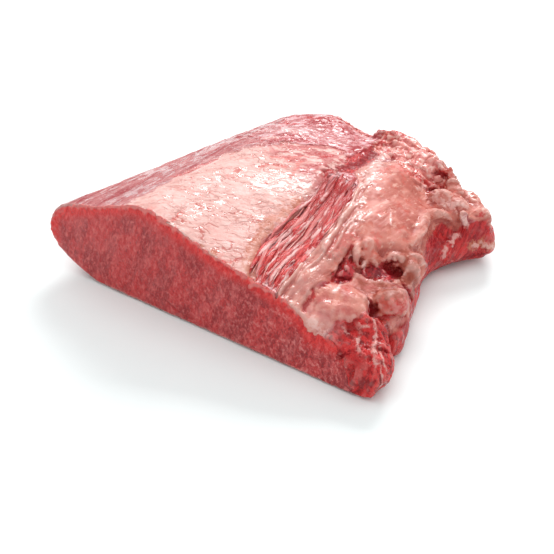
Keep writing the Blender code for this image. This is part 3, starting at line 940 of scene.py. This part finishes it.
class Finish:
    def __init__(self, name):
        self.material = bpy.data.materials.new(name)
        self.material.use_nodes = True
        self.tree = self.material.node_tree
        self.shader = self.tree.nodes["Principled BSDF"]
        self.place = self.make("ShaderNodeTexCoord").outputs["Object"]
        self.shine = 0.5

    def make(self, kind, settings=(), **links):
        return add(self.tree, kind, settings, **links)

    def maths(self, operation, *values):
        return maths(self.tree, operation, *values)

    def times(self, a, b):
        return self.maths("MULTIPLY", a, b)

    def plus(self, a, b):
        return self.maths("ADD", a, b)

    def less(self, a, b):
        return self.maths("SUBTRACT", a, b)

    def piled(self, *layers):
        """The sum of reliefs: (a field or a noise's numbers, height in mm)."""
        fields = [(self.noise(*f) if isinstance(f, tuple) else f, height) for f, height in layers]
        return reduce(self.plus, [self.times(field, height) for field, height in fields])

    def measure(self, name):
        return self.make("ShaderNodeAttribute", {"attribute_name": name}).outputs["Fac"]

    def along(self, axis):
        """The place along an axis, in metres."""
        return self.make("ShaderNodeSeparateXYZ", Vector=self.place).outputs[axis]

    def drawn(self, times, turn=(0, 0, 0), place=None):
        """The place, with patterns read there drawn out by these times along turned axes."""
        angles = tuple(math.radians(a) for a in turn)
        place = place or self.place
        return self.make(
            "ShaderNodeMapping", {"vector_type": "TEXTURE"}, Vector=place, Scale=times, Rotation=angles
        ).outputs["Vector"]

    def stirred(self, amount, size):
        """The place, pushed about by noise: how far and how often, in mm."""
        stir = self.make("ShaderNodeTexNoise", Vector=self.place, Scale=1 / (size * MM), Detail=1.0)
        vectors = partial(maths, self.tree, kind="ShaderNodeVectorMath")
        centred = vectors("SUBTRACT", stir.outputs["Color"], (0.5, 0.5, 0.5))
        return vectors("MULTIPLY_ADD", centred, (2 * amount * MM,) * 3, self.place)

    def noise(self, size, detail=2.0, rough=0.5, place=None):
        """Noise from 0 to 1 with lumps of this size, in mm."""
        place = place or self.place
        return self.make(
            "ShaderNodeTexNoise", Vector=place, Scale=1 / (size * MM), Detail=detail, Roughness=rough
        ).outputs["Fac"]

    def cells(self, size, place):
        """How far it is to the middle of the nearest of many cells of this size, in mm."""
        return self.make("ShaderNodeTexVoronoi", Vector=place, Scale=1 / (size * MM)).outputs["Distance"]

    def lines(self, size, width, place, detail=1.5):
        """0 on thin meandering lines and 1 away from them: where a noise passes its middle."""
        off_middle = self.less(self.noise(size, detail, 0.5, place), 0.5)
        return self.share(self.maths("ABSOLUTE", off_middle), 0.0, width)

    def share(self, value, low, high, out=(0.0, 1.0)):
        """Eases from out[0] where value is low to out[1] where it is high."""
        return self.make(
            "ShaderNodeMapRange", {"interpolation_type": "SMOOTHSTEP"}, Value=value,
            From_Min=low, From_Max=high, To_Min=out[0], To_Max=out[1],
        ).outputs["Result"]

    def over(self, share, base, top, how="MIX"):
        """Lays the top tone over the base by a share."""
        settings = {"data_type": "RGBA", "blend_type": how}
        mix = self.make("ShaderNodeMix", settings, Factor=share, A=colour(base), B=colour(top))
        return mix.outputs["Result"]

    def flecked(self, tone, *flecks):
        """A tone with flecks: a pattern or a noise's numbers, low, high, tone and strength."""
        for pattern, low, high, top, *strength in flecks:
            if isinstance(pattern, tuple):
                pattern = self.noise(*pattern)
            tone = self.over(self.share(pattern, low, high, (0.0, *(strength or [1.0]))), tone, top)
        return tone

    def between(self, share, base, top):
        """A number between two, by a share."""
        mix = self.make("ShaderNodeMix", {"data_type": "FLOAT"}, Factor=share, A=base, B=top)
        return mix.outputs["Result"]

    def ragged(self, name, spread, size, edge=0.5):
        """A tissue's share, its edge made ragged by noise; spread, size and edge in mm."""
        wobble = self.times(self.less(self.noise(size, 3.0, 0.6), 0.5), 2 * spread)
        return self.share(self.plus(self.measure(name), wobble), -edge, edge)

    def stroke(self, name, strength, size=2.2):
        """The share of a stroke's tint, broken up by noise."""
        wobble = self.times(self.less(self.noise(size, 4.0, 0.7), 0.5), 2.4)
        return self.share(self.plus(self.measure(name), wobble), 0.36, 0.86, (0.0, strength))

    def lay(self, share, tone=None, relief=None, rough=None, shine=None):
        """Lays a tissue over what is there: tone, relief, roughness and shine, each if given."""
        if tone is not None:
            self.tone = self.over(share, self.tone, tone)
        for name, value in (("relief", relief), ("rough", rough), ("shine", shine)):
            if value is not None:
                setattr(self, name, self.between(share, getattr(self, name), value))

    def moist(self, relief, low, high, dry=0.5, wet=0.07):
        """Juice fills a relief up to a level that wanders from low to high, in mm, and shines."""
        level = self.share(self.noise(7.0), 0.40, 0.60, (low, high))
        level = self.plus(level, self.times(self.measure("wet"), high - low))
        filled = self.maths("SMOOTH_MAX", relief, level, 0.2)
        return filled, self.share(self.less(relief, level), -0.03, 0.12, (wet, dry))

    def wear(self, soft=0.0, depth=1.0):
        """Joins the layers to the shader; what is even all over is set on its sockets."""
        normal = self.make("ShaderNodeBump", Height=self.relief, Distance=MM, Strength=1.0)
        inputs = {
            "Base Color": self.tone,
            "Roughness": self.rough,
            "Specular IOR Level": self.shine,
            "Normal": normal,
            "IOR": 1.46,
            "Subsurface Weight": soft,
            "Subsurface Radius": (1.0, 0.35, 0.25),
            "Subsurface Scale": depth * MM,
        }
        for name, value in inputs.items():
            feed(self.tree, self.shader.inputs[name], value)
        return self.material


print("bench ready")

# %% [markdown]
# ## The finish of the whole piece
# The body is one skin, so it gets one finish, laid on in the order the tissues lie on the
# real meat: silverskin and lean at the bottom, then fat, then the torn places, and the cut
# last, because the knife went through everything. Each layer starts from its outline's
# stored distance, made ragged by noise, and each has its own speckle.

# %% Silverskin
meat = Finish("raw beef")
grain_run = meat.drawn((1.0, 7.0, 1.0))
veil = meat.noise(4.2, 4.0, 0.62, grain_run)
meat.tone = meat.flecked(
    (162, 64, 68),
    (veil, 0.36, 0.60, (182, 102, 102)),
    ((1.8, 3.0, 0.6, grain_run), 0.54, 0.72, (214, 156, 156)),
    ((9.0, 4.0, 0.62, grain_run), 0.53, 0.62, (158, 48, 54)),
)
silver_relief = meat.piled((veil, 1.2), ((2.0, 3.0, 0.6), 0.5))
meat.relief, meat.rough = meat.moist(silver_relief, 0.70, 0.95)
print("silverskin")

# %% Mottled back
mottle_run = meat.drawn((1.6, 1.0, 1.0), (0, 0, 34), meat.stirred(1.8, 6.0))
mottle = meat.noise(6.8, 5.0, 0.66, mottle_run)
folds = meat.lines(6.0, 0.05, mottle_run)
patchy = meat.flecked(
    (160, 34, 42),
    (mottle, 0.42, 0.49, (184, 78, 82)),
    (mottle, 0.51, 0.58, (220, 168, 172)),
    (folds, 1.0, 0.0, (178, 66, 70), 0.5),
)
patchy_relief = meat.piled((folds, 0.8), (mottle, 2.0), ((2.0, 3.0, 0.6), 0.6))
meat.lay(meat.ragged("behind", 4.0, 9.0, 2.0), patchy, *meat.moist(patchy_relief, 1.85, 2.25))
print("mottled back")

# %% Bare lean and the torn tip
fibre_run = meat.drawn((1.0, 6.0, 2.0), (38, 0, 0), meat.stirred(1.2, 8.0))
fibres = meat.noise(1.5, 4.0, 0.62, fibre_run)
bare = meat.flecked(
    (150, 22, 28),
    (fibres, 0.38, 0.58, (202, 50, 50)),
    ((3.2, 4.0, 0.6, fibre_run), 0.61, 0.70, (204, 96, 92)),
    ((14.0,), 0.45, 0.62, (140, 26, 36), 0.5),
)
bare_relief = meat.piled((fibres, 1.0), ((3.0, 3.0, 0.6, fibre_run), 1.6))
meat.lay(meat.ragged("lean", 2.0, 6.0, 1.2), bare, *meat.moist(bare_relief, 1.12, 1.34), 0.36)

lump_run = meat.drawn((1.0, 1.0, 1.8), (0, 12, 0), meat.stirred(1.5, 6.0))
lumps = meat.noise(3.8, 4.0, 0.62, lump_run)
torn = meat.flecked(
    (138, 18, 24),
    (lumps, 0.38, 0.56, (212, 52, 52)),
    ((3.2, 4.0, 0.6), 0.60, 0.70, (208, 96, 92)),
)
torn_relief = meat.piled((lumps, 3.0), ((2.2, 3.0, 0.6), 1.0))
meat.lay(meat.ragged("tip", 2.0, 5.0, 1.2), torn, *meat.moist(torn_relief, 1.74, 2.04, 0.34), 0.3)
print("lean and torn tip")

# %% The fat cap
fold_place = meat.stirred(3.0, 9.0)
fold_run = meat.drawn((2.4, 1.0, 1.0), (0, 0, 32), fold_place)
long_lines = meat.lines(10.0, 0.028, fold_run, 2.5)
short_lines = meat.lines(4.6, 0.035, meat.drawn((2.0, 1.0, 1.0), (0, 0, 38), fold_place), 2.0)
restless = meat.share(meat.noise(20.0), 0.42, 0.60, (0.1, 0.8))
flaky = meat.noise(2.6, 4.0, 0.6, fold_run)
lumpy = meat.noise(5.6, 3.0, 0.55, fold_run)
cap_tone = meat.flecked(
    (207, 149, 140),
    (flaky, 0.38, 0.60, (225, 178, 170)),
    ((24.0,), 0.44, 0.60, (226, 176, 168), 0.6),
    (lumpy, 0.56, 0.70, (240, 206, 201), 0.5),
)
in_lines = meat.times(meat.share(long_lines, 1.0, 0.0), meat.share(meat.noise(7.0), 0.40, 0.56))
in_short = meat.times(meat.share(short_lines, 1.0, 0.0), restless)
border = meat.share(meat.noise(5.0, 4.0, 0.68, fold_run), 0.43, 0.51)
border = meat.times(meat.share(meat.measure("behind"), -20, -2), border)
flush = meat.share(meat.noise(11.0, 4.0, 0.66, fold_run), 0.53, 0.63)
flush = meat.times(flush, meat.share(meat.noise(2.6, 3.0, 0.6, fold_run), 0.42, 0.58))
for where, strength, tone in [
    (in_lines, 0.75, (190, 92, 86)),
    (in_short, 0.55, (200, 112, 106)),
    (border, 0.9, (182, 70, 70)),
    (flush, 0.6, (212, 118, 108)),
]:
    cap_tone = meat.over(meat.times(where, strength), cap_tone, tone)
cap_lumps = meat.less(meat.piled((flaky, 0.7), (lumpy, 2.0)), 1.35)
cap_relief = meat.piled((in_lines, -0.7), (in_short, -0.4), (cap_lumps, restless), ((1.8, 3.0, 0.6), 0.4))
meat.lay(meat.ragged("cap", 9.0, 10.0, 2.5), cap_tone, *meat.moist(cap_relief, -0.33, 0.09), 0.5)
print("fat cap")

# %% The thick sheet, the beads and the lobes
sheet_place = meat.stirred(1.5, 10.0)
streak_run = meat.drawn((1.0, 4.0, 1.0), (0, 0, -6), sheet_place)
sheet_tone = meat.flecked(
    (178, 90, 77),
    ((11.0, 3.0), 0.36, 0.64, (202, 122, 108)),
    ((2.6, 3.0, 0.6, streak_run), 0.56, 0.70, (226, 170, 154), 0.7),
    ((6.0, 4.0, 0.62, sheet_place), 0.54, 0.66, (196, 80, 64), 0.6),
)
sheet_relief = meat.piled(((4.4, 3.0, 0.5, streak_run), 2.4), ((2.4, 3.0), 0.3))
calm = meat.share(meat.measure("fat"), 3.0, 11.0, (0.0, 0.6))
sheet_relief = meat.between(calm, sheet_relief, 1.35)
meat.lay(meat.ragged("fat", 1.2, 5.0, 0.8), sheet_tone, *meat.moist(sheet_relief, 0.83, 1.29), 0.5)

bead_bumps = meat.share(meat.cells(3.4, meat.stirred(0.8, 3.0)), 0.0, 0.7, (0.4, 0.0))
bead_tone = meat.flecked(
    (186, 50, 48),
    ((6.0, 4.0, 0.62), 0.40, 0.52, (208, 106, 95)),
    ((4.5, 3.0, 0.6), 0.53, 0.63, (222, 164, 153)),
)
bead_relief = meat.piled((bead_bumps, 1.0), ((2.4, 3.0, 0.6), 1.2))
meat.lay(meat.ragged("beads", 4.0, 6.0, 1.5), bead_tone, *meat.moist(bead_relief, 0.55, 0.85, 0.3), 0.5)

lobe_tone = meat.flecked((186, 92, 84), ((9.0, 3.0, 0.55), 0.38, 0.62, (208, 132, 118)))
lobe_relief = meat.piled(((5.0, 3.0), 1.0), ((1.6, 3.0, 0.6), 0.3))
lobe_moist = meat.moist(lobe_relief, 0.30, 0.62, 0.42, 0.1)
meat.lay(meat.ragged("lobes", 1.6, 5.0, 1.2), lobe_tone, *lobe_moist, 0.45)
print("soft fat")

# %% Pockets and the floor of the window
pocket_tone = meat.flecked(
    (128, 20, 32),
    ((3.4, 4.0, 0.62), 0.42, 0.58, (184, 48, 54)),
    ((2.6, 3.0, 0.6), 0.62, 0.70, (196, 96, 98)),
)
pocket_relief = meat.piled(((2.0, 3.0), 0.8))
meat.lay(meat.ragged("pockets", 3.0, 3.4, 1.2), pocket_tone, pocket_relief, 0.26, 0.3)
window_floor = meat.flecked((126, 26, 32), ((1.3, 3.0, 0.6, grain_run), 0.40, 0.60, (198, 96, 96)))
meat.lay(meat.share(meat.measure("window"), 0.4, 1.6), window_floor, meat.times(fibres, 0.5), 0.3)
print("pockets and window floor")

# %% The strokes' tints
# Each is broken up by noise; then its tone, relief, roughness and shine.
meat.lay(meat.stroke("dull", 0.95, 14.0), (156, 74, 58), None, 0.36, 0.25)
meat.lay(meat.stroke("flush", 0.7), (205, 84, 74))
meat.lay(meat.stroke("tan", 0.9, 4.0), (192, 114, 92))
meat.lay(meat.stroke("pale", 0.66, 3.0), (230, 178, 170), None, 0.16)
meat.lay(meat.stroke("blood", 0.85, 3.0), (186, 36, 38), None, 0.2, 0.3)
# The dark tint is dark red lean along the streak, and painted shade in the slits, creases, pockets and
# notches.
meat.lay(meat.stroke("dark", 0.85), (132, 18, 26), None, 0.4, 0.05)
# Painted highlight: wet places are painted a little paler; their low roughness gives real glints.
wet = meat.share(meat.measure("wet"), 0.05, 0.6)
meat.lay(meat.times(wet, 0.12), (248, 228, 224))
meat.lay(wet, None, None, meat.share(meat.noise(3.0, 3.0), 0.4, 0.6, (0.07, 0.22)))
print("tints")

# %% The cut
cut_place = meat.stirred(1.0, 4.0)
thread_run = meat.drawn((1.0, 1.0, 2.6), (0, 18, 0), cut_place)
threads = meat.noise(1.9, 5.0, 0.72, thread_run)
curds = meat.noise(2.2, 4.0, 0.65, meat.drawn((1.0, 1.0, 1.6), (0, -20, 0), cut_place))
towards_tip = meat.share(meat.along("X"), -0.04, 0.09)  # pale and dark flecks both grow stronger towards the tip
rim_comb = meat.times(meat.less(threads, 0.5), 16.0)
rim_depth = meat.plus(meat.measure("rim"), rim_comb)
rim_tone = meat.flecked((206, 14, 18), (threads, 0.40, 0.60, (238, 50, 46)))
cut_tone = meat.flecked(
    (198, 44, 46),
    ((12.0, 4.0, 0.6, thread_run), 0.42, 0.58, (164, 30, 36)),
    ((8.0, 4.0, 0.6, thread_run), 0.50, 0.62, (210, 90, 90), 0.4),
    (threads, 0.50, 0.62, (222, 108, 104), 0.62),
    (threads, 0.46, 0.34, (140, 18, 24), 0.7),
    (curds, 0.52, 0.64, (228, 132, 128), meat.between(towards_tip, 0.25, 0.75)),
    (curds, 0.46, 0.36, (140, 20, 28), meat.between(towards_tip, 0.3, 0.9)),
    (rim_depth, 9.5, 2.5, rim_tone, 0.8),
)
cut_relief = meat.piled((threads, 1.3), (curds, 1.1))
cut_rough = meat.share(threads, 0.4, 0.6, (0.28, 0.44))
meat.lay(meat.ragged("cut", 0.5, 2.0, 0.4), cut_tone, cut_relief, cut_rough, 0.5)
print("cut")

# %% Painted shade in hollows and painted highlight on crests
deep = meat.measure("cavity_for_painted_light")
# Painted shade: the deeper a point lies between its neighbours, the darker red its tone is multiplied.
meat.tone = meat.over(meat.share(deep, 0.05, 0.4, (0.0, 0.5)), meat.tone, (190, 76, 74), "MULTIPLY")
# Painted highlight: crests are painted paler, and less so on lean.
less_on_lean = meat.share(meat.measure("lean"), -1.0, 2.0, (1.0, 0.4))
painted_crest_highlight = meat.times(meat.share(deep, -0.08, -0.5, (0.0, 0.22)), less_on_lean)
meat.tone = meat.over(painted_crest_highlight, meat.tone, (250, 226, 216))
body.data.materials.clear()
body.data.materials.append(meat.wear(soft=0.06, depth=1.6))
print("finish nodes", len(meat.tree.nodes))

# %% [markdown]
# ## Bare strands in the window
# In the window the fat and the silverskin are gone, and the muscle's bundles lie bare:
# fourteen wavy red strings, two to four millimetres wide, packed side by side, with a few
# thin white films over them. A strand is a path with a round section, so Geometry Nodes
# make them all with one tree: it evens out the points of every guide, presses the round
# section flat, sweeps it along and roughens the surface.

# %% The strand tree
strand_tree = new_tree(
    "strands",
    Points_along=(WHOLE, 60),
    Sides=(WHOLE, 10),
    Flatness=(FLOAT, 0.6),
    Roughness_height=(FLOAT, 0.2 * MM),
    Roughness_size=(FLOAT, 2.0 * MM),
    Material=(MATERIAL, None),
)
node = partial(add, strand_tree)
given = node("NodeGroupInput")
evened = node(
    "GeometryNodeResampleCurve", {"mode": "COUNT"}, Curve=given, Count=given.outputs["Points along"]
)
upright = node("GeometryNodeSetCurveNormal", {"mode": "Z_UP"}, Curve=evened)
marked = node(
    "GeometryNodeStoreNamedAttribute", {"data_type": "FLOAT", "domain": "CURVE"}, Geometry=upright,
    Name="own", Value=node("FunctionNodeRandomValue", {"data_type": "FLOAT"}, Seed=4),
)
section = node(
    "GeometryNodeCurvePrimitiveCircle", {"mode": "RADIUS"}, Resolution=given.outputs["Sides"], Radius=1.0
)
squeeze = node("ShaderNodeCombineXYZ", X=1.0, Y=given.outputs["Flatness"], Z=1.0)
pressed = node("GeometryNodeTransform", Geometry=section, Scale=squeeze)
swept = node(
    "GeometryNodeCurveToMesh", Curve=marked, Profile_Curve=pressed,
    Scale=node("GeometryNodeInputRadius"), Fill_Caps=True,
)
often = maths(strand_tree, "DIVIDE", 1.0, given.outputs["Roughness size"])
grain = node("ShaderNodeTexNoise", Vector=node("GeometryNodeInputPosition"), Scale=often, Detail=2.0)
centred = maths(strand_tree, "SUBTRACT", grain, 0.5)
raised = maths(strand_tree, "MULTIPLY", centred, given.outputs["Roughness height"])
push = node(
    "ShaderNodeVectorMath", {"operation": "SCALE"}, Vector=node("GeometryNodeInputNormal"), Scale=raised
)
roughened = node("GeometryNodeSetPosition", Geometry=swept, Offset=push)
smooth_strands = node("GeometryNodeSetShadeSmooth", Geometry=roughened, Shade_Smooth=True)
close_tree(strand_tree, given, smooth_strands)

# %% Guides on the surface
above = skin_tree(body.data)


def surface_at(x, y):
    """Height of the body's top at a place seen from above, all in mm."""
    hit = above.ray_cast(Vector((x * MM, y * MM, 0.2)), Vector((0, 0, -1)))[0]
    return hit.z / MM if hit else 0.0


def guide_curves(name, paths):
    """One curve object with a spline for each path of (x, y, z, radius) in mm."""
    curve = bpy.data.curves.new(name, "CURVE")
    curve.dimensions = "3D"
    for path in paths:
        spline = curve.splines.new("POLY")
        spline.points.add(len(path) - 1)
        for point, (x, y, z, radius) in zip(spline.points, path):
            point.co = (x * MM, y * MM, z * MM, 1.0)
            point.radius = radius * MM
    return new_object(name, curve)


def taper(f, end=0.12):
    """Share of full thickness along a strand: thin ends, full middle."""
    return min(1.0, f / end, (1 - f) / end) ** 0.6 if 0 < f < 1 else 0.0


def window_place(across, y):
    """A place in the window, from 0 at its left edge to 1 at its right, at this distance along."""
    left, right = edge_at(WINDOW_LEFT, y), edge_at(WINDOW_RIGHT, y)
    return left + (right - left) * across


# %% Lay the strands side by side
def window_strands(count, widths, lift, long_share, seed):
    """Wavy paths side by side across the window: place and radius of each point, in mm."""
    rng = np.random.default_rng(seed)
    paths = []
    for i in range(count):
        across = (i + rng.uniform(0.2, 0.8)) / count
        whole = rng.uniform() < long_share
        start = rng.uniform(-108, -101) if whole or i % 2 else rng.uniform(-95, -45)
        end = rng.uniform(6, 19) if whole or not i % 2 else rng.uniform(-50, 0)
        width = rng.uniform(*widths)
        wave, shift = rng.uniform(9, 15), rng.uniform(0, 6.28)
        lean_over = rng.uniform(-0.05, 0.05)
        path = []
        for y in np.linspace(start, end, 64):
            f = (y - start) / (end - start)
            sway = 0.045 * math.sin(y / wave + shift) + 0.015 * math.sin(y / 4.1 + 3 * shift)
            sway += lean_over * (f - 0.5)
            x = window_place(np.clip(across + sway, -0.03, 1.0), y)
            rise = lift + 0.5 * math.sin(y / 11 + shift * 2) + 1.0 * max(0.0, 1 - 3 * across)
            thick = width * taper(f) * (0.85 + 0.3 * math.sin(y / 6.0 + shift * 5))
            path.append((x, y, surface_at(x, y) + rise, max(thick, 0.05)))
        paths.append(path)
    return paths


def red_finish(name, dark, light, film, film_from):
    flesh = Finish(name)
    run = flesh.drawn((1.0, 11.0, 1.0), (0, 0, 5), flesh.stirred(0.8, 5.0))
    thread = flesh.noise(1.1, 4.0, 0.6, run)
    away = flesh.along("Y")
    own = flesh.share(flesh.measure("own"), 0.45, 0.9)
    own = flesh.times(own, flesh.share(away, -0.05, 0.0, (0.8, 0.3)))
    tone = flesh.flecked(dark, (thread, 0.38, 0.60, light))
    tone = flesh.over(own, tone, (228, 148, 144))
    tone = flesh.flecked(tone, (away, -0.045, 0.0, (170, 32, 34), 0.82))
    films = flesh.share(flesh.noise(2.6, 4.0, 0.6, run), film_from, film_from + 0.08)
    films = flesh.times(films, flesh.share(away, -0.03, 0.0, (1.0, 0.3)))
    flesh.tone = flesh.over(flesh.times(films, 0.85), tone, film)
    flesh.relief = flesh.piled((thread, 1.0), (films, 0.3))
    flesh.rough = flesh.share(thread, 0.35, 0.65, (0.12, 0.30))
    flesh.shine = 0.32
    return flesh.wear(soft=0.08, depth=1.2)


bundle_finish = red_finish("bare bundles", (160, 24, 30), (218, 80, 78), (240, 190, 186), 0.53)
film_finish = red_finish("white films", (206, 118, 112), (232, 176, 170), (244, 214, 210), 0.56)


# %% Make bundles and films
def strands_from(paths, name, finish, **sizes):
    guides = guide_curves("guides", paths)
    mesh = grown(guides, strand_tree, Material=finish, **sizes)
    bpy.data.objects.remove(guides)
    print(name, len(paths), "strands", triangle_count(mesh), "triangles")
    return new_object(name, mesh)


bundles = strands_from(
    window_strands(14, (1.4, 2.6), 0.0, 0.65, 5), "bare_bundles", bundle_finish,
    Points_along=80, Sides=12, Flatness=0.72, Roughness_height=0.5 * MM, Roughness_size=2.4 * MM,
)
films = strands_from(
    window_strands(8, (0.25, 0.5), 1.0, 0.2, 9), "window_films", film_finish,
    Points_along=80, Sides=8, Flatness=0.5, Roughness_height=0.3 * MM, Roughness_size=2.0 * MM,
)

# %% [markdown]
# ## The studio
# The meat lies on a plain white table in soft light from a wide window behind and above,
# with white all round, so its shadow is faint. The camera stands in front and to the right,
# looking down at the cut and the torn side.

# %% Floor and light
TABLE_REACH = 6.0  # from its middle to each side, in metres
table_mesh = bpy.data.meshes.new("table")
with kneaded(table_mesh) as table:
    bmesh.ops.create_grid(table, x_segments=1, y_segments=1, size=TABLE_REACH)
table_top = new_object("table", table_mesh)
white = Finish("white table")
white.tone = white.over(white.noise(40.0), (240, 248, 248), (244, 251, 251))
white.relief = white.times(white.noise(5.0), 0.01)
white.rough = white.share(white.noise(30.0), 0.3, 0.7, (0.75, 0.85))
table_mesh.materials.append(white.wear())
table_top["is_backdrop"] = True

world = bpy.data.worlds.new("studio")
bpy.context.scene.world = world
world.use_nodes = True
surround = world.node_tree.nodes["Background"]
surround.inputs["Color"].default_value = (1.0, 1.0, 1.0, 1.0)
surround.inputs["Strength"].default_value = 0.72


def set_up(obj, place, direction):
    """Puts a lamp or the camera at a place, looking in a direction."""
    obj.location = place
    obj.rotation_mode = "QUATERNION"
    obj.rotation_quaternion = direction.to_track_quat("-Z", "Y")


def soft_light(name, place, aim, size, power):
    """A wide lamp: places and size in metres, power in watts."""
    lamp = bpy.data.lights.new(name, "AREA")
    lamp.shape = "RECTANGLE"
    lamp.size, lamp.size_y = size
    lamp.energy = power
    set_up(new_object(name, lamp), place, Vector(aim) - Vector(place))


soft_light("window behind", (-0.5, 1.28, 1.08), (0, 0, 0.03), (0.95, 0.55), 24)
soft_light("overhead", (0.3, -0.1, 2.2), (0, 0, 0), (2.4, 2.4), 17)
bpy.context.scene.view_settings.view_transform = "Standard"
print("studio ready")

# %% Camera
AZIMUTH, ELEVATION = math.radians(33.8), math.radians(37.0)
DISTANCE = 0.81
AIM = Vector((0.0068, -0.0382, -0.0015))
SENSOR_WIDTH, FOCAL_LENGTH = 36.0, 78.0
back = Vector((
    math.sin(AZIMUTH) * math.cos(ELEVATION),
    -math.cos(AZIMUTH) * math.cos(ELEVATION),
    math.sin(ELEVATION),
))
lens = bpy.data.cameras.new("camera")
lens.sensor_width = SENSOR_WIDTH
lens.lens = FOCAL_LENGTH
camera = new_object("camera", lens)
set_up(camera, AIM + back * DISTANCE, -back)
bpy.context.scene.camera = camera
print("camera", [round(v, 3) for v in camera.location])

# %% Attach the pieces and hide the frame
pieces = [body, bundles, films]
for piece in pieces:
    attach(piece, "root")
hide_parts("brisket")
boxes = {"cad": [list(c) for c in CAD_BOX], "scene": [list(c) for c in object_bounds()]}
print({name: [[round(v / MM, 1) for v in c] for c in box] for name, box in boxes.items()})
